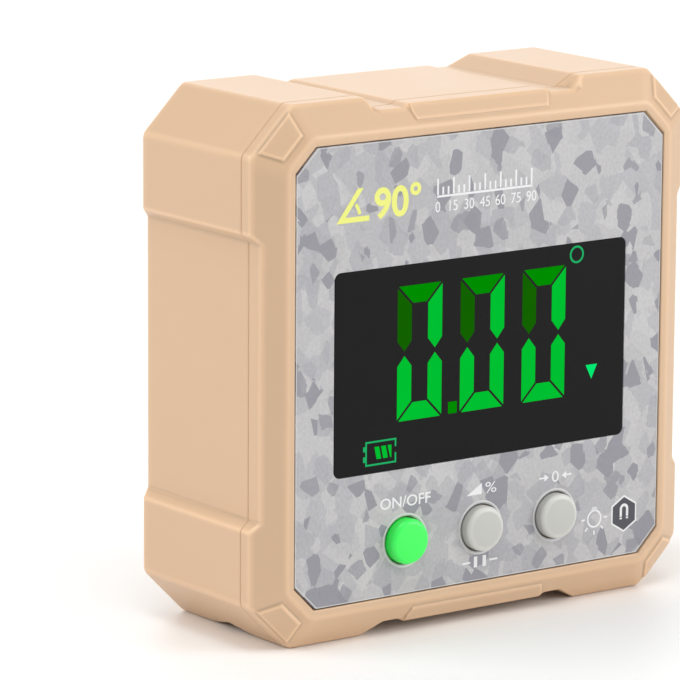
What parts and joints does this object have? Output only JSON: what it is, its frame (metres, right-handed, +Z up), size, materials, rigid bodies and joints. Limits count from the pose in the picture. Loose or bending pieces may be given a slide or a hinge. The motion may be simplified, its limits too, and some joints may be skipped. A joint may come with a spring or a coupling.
{
  "type": "digital inclinometer",
  "caption": "Square digital inclinometer with a lit angle display, push buttons, corner bumpers, a rear battery cover and a magnetic base with a shallow pipe groove.",
  "frame": {"origin": "middle of the box's underside: under the middle of the width and of the overall depth, on the plane of the base's feet", "axes": "+Z up, -Y out of the display, +X to the right as the display is read"},
  "size_m": [0.06, 0.026, 0.06],
  "materials": {
    "case_plastic": "fine satin moulded tan plastic",
    "seal_rubber": "soft black silicone rubber",
    "foam": "closed-cell foam",
    "zebra_rubber": "striped contact rubber",
    "faceplate_print": "printed plate with a grey broken-stone pattern",
    "window_lens": "dark lens with lit green segments behind it",
    "display_glass": "display glass with a dark ground",
    "light_guide": "milky light guide",
    "white_plastic": "plain moulded",
    "board_laminate": "green board lacquer",
    "chip_plastic": "moulded chip package",
    "capacitor_ceramic": "fired ceramic",
    "switch_plastic": "moulded black plastic",
    "plated_metal": "bright nickel plate",
    "contact_metal": "nickel-plated spring steel",
    "screw_steel": "zinc-plated steel",
    "cell_jacket": "plain jacketed steel can",
    "button_green": "satin green moulded cap",
    "button_grey": "satin light grey moulded cap"
  },
  "bodies": {
    "root": {"main_housing": "case_plastic", "front_bezel": "case_plastic", "housing_seal": "seal_rubber", "button_seals": "seal_rubber", "display_gasket": "foam", "zebra_connectors": "zebra_rubber", "faceplate": "faceplate_print", "display_window": "window_lens", "lcd_panel": "display_glass", "backlight_panel": "light_guide", "lcd_frame": "white_plastic", "circuit_board": "board_laminate", "tilt_sensor": "chip_plastic", "microcontroller": "chip_plastic", "clock_crystal": "plated_metal", "supply_capacitors": "capacitor_ceramic", "tact_switches": "switch_plastic", "board_screws": "screw_steel", "housing_screws": "screw_steel", "battery_upper": "cell_jacket", "battery_lower": "cell_jacket", "battery_springs": "contact_metal", "battery_bridge_plate": "contact_metal", "battery_contact_plates": "contact_metal", "base_magnets": "plated_metal"},
    "on_off_button": {"button_on_off": "button_green", "plunger_on_off": "switch_plastic"},
    "hold_button": {"button_hold": "button_grey", "plunger_hold": "switch_plastic"},
    "zero_button": {"button_zero": "button_grey", "plunger_zero": "switch_plastic"},
    "battery_door": {"battery_cover": "case_plastic", "battery_cover_seal": "seal_rubber", "battery_cover_screws": "screw_steel"}
  },
  "joints": [
    {"name": "on_off_button_press", "type": "slide", "parent": "root", "child": "on_off_button", "axis": [0, 1, 0], "range_m": [0, 0.0005], "stiffness_N_per_m": 1500},
    {"name": "hold_button_press", "type": "slide", "parent": "root", "child": "hold_button", "axis": [0, 1, 0], "range_m": [0, 0.0005], "stiffness_N_per_m": 1500},
    {"name": "zero_button_press", "type": "slide", "parent": "root", "child": "zero_button", "axis": [0, 1, 0], "range_m": [0, 0.0005], "stiffness_N_per_m": 1500},
    {"name": "battery_door_lift", "type": "slide", "parent": "root", "child": "battery_door", "axis": [0, 1, 0], "range_m": [0, 0.03]}
  ]
}
